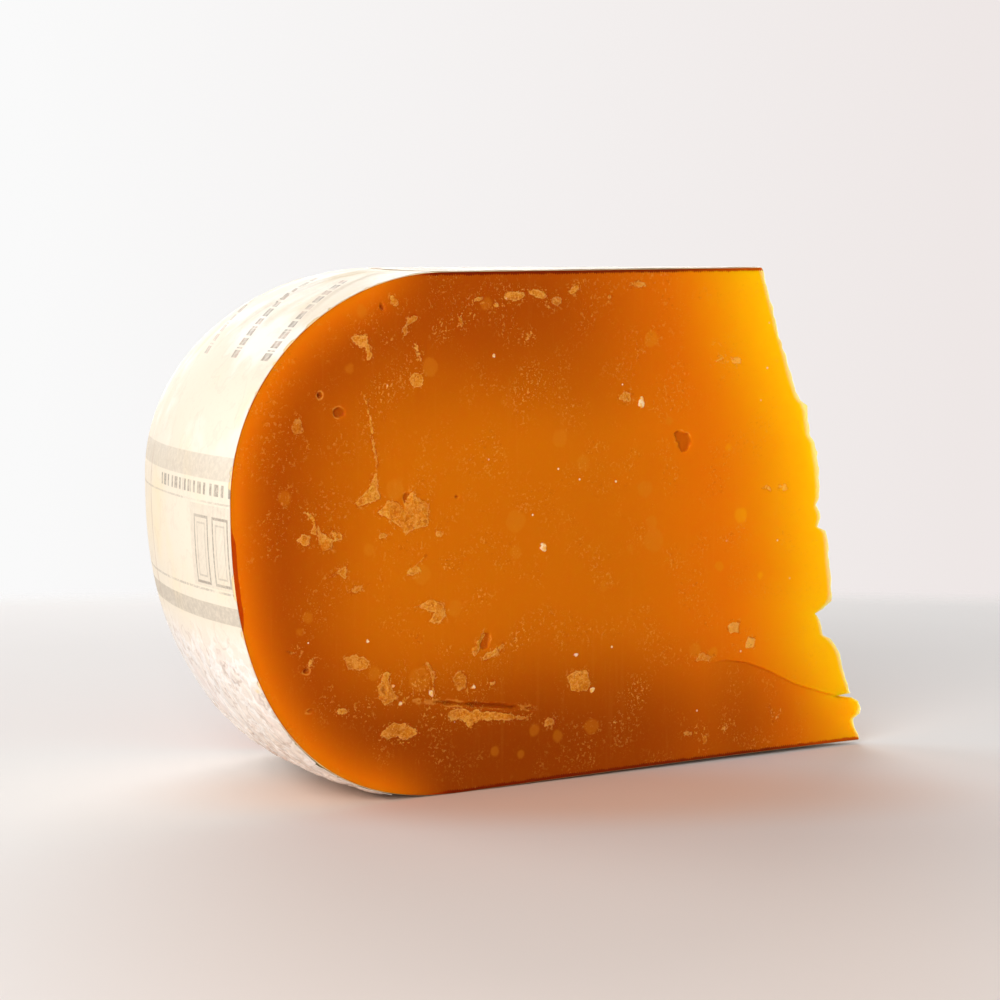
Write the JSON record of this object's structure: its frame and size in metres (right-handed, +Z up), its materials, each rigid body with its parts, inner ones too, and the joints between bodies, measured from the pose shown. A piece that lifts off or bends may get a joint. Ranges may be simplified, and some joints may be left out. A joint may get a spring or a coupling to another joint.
{
  "type": "cheese wedge",
  "caption": "Wedge cut by hand from a long-aged, full-sided cheese wheel, with its rind, pale coat and plain paper labels, resting on the wheel's flat underside.",
  "frame": {"origin": "middle of the wedge's box on the surface it stands on", "axes": "+Z up along the wheel's axis; -X towards the full round side of the wheel and +X towards the thin tip; -Y out of the front cut face"},
  "size_m": [0.1794, 0.0818, 0.12],
  "materials": {
    "paste": "satin",
    "coat": "satin",
    "side_paper": "matte",
    "top_paper": "matte"
  },
  "bodies": {
    "root": {"cheese": "paste", "coating": "coat", "side_label": "side_paper", "top_label": "top_paper"}
  },
  "joints": []
}
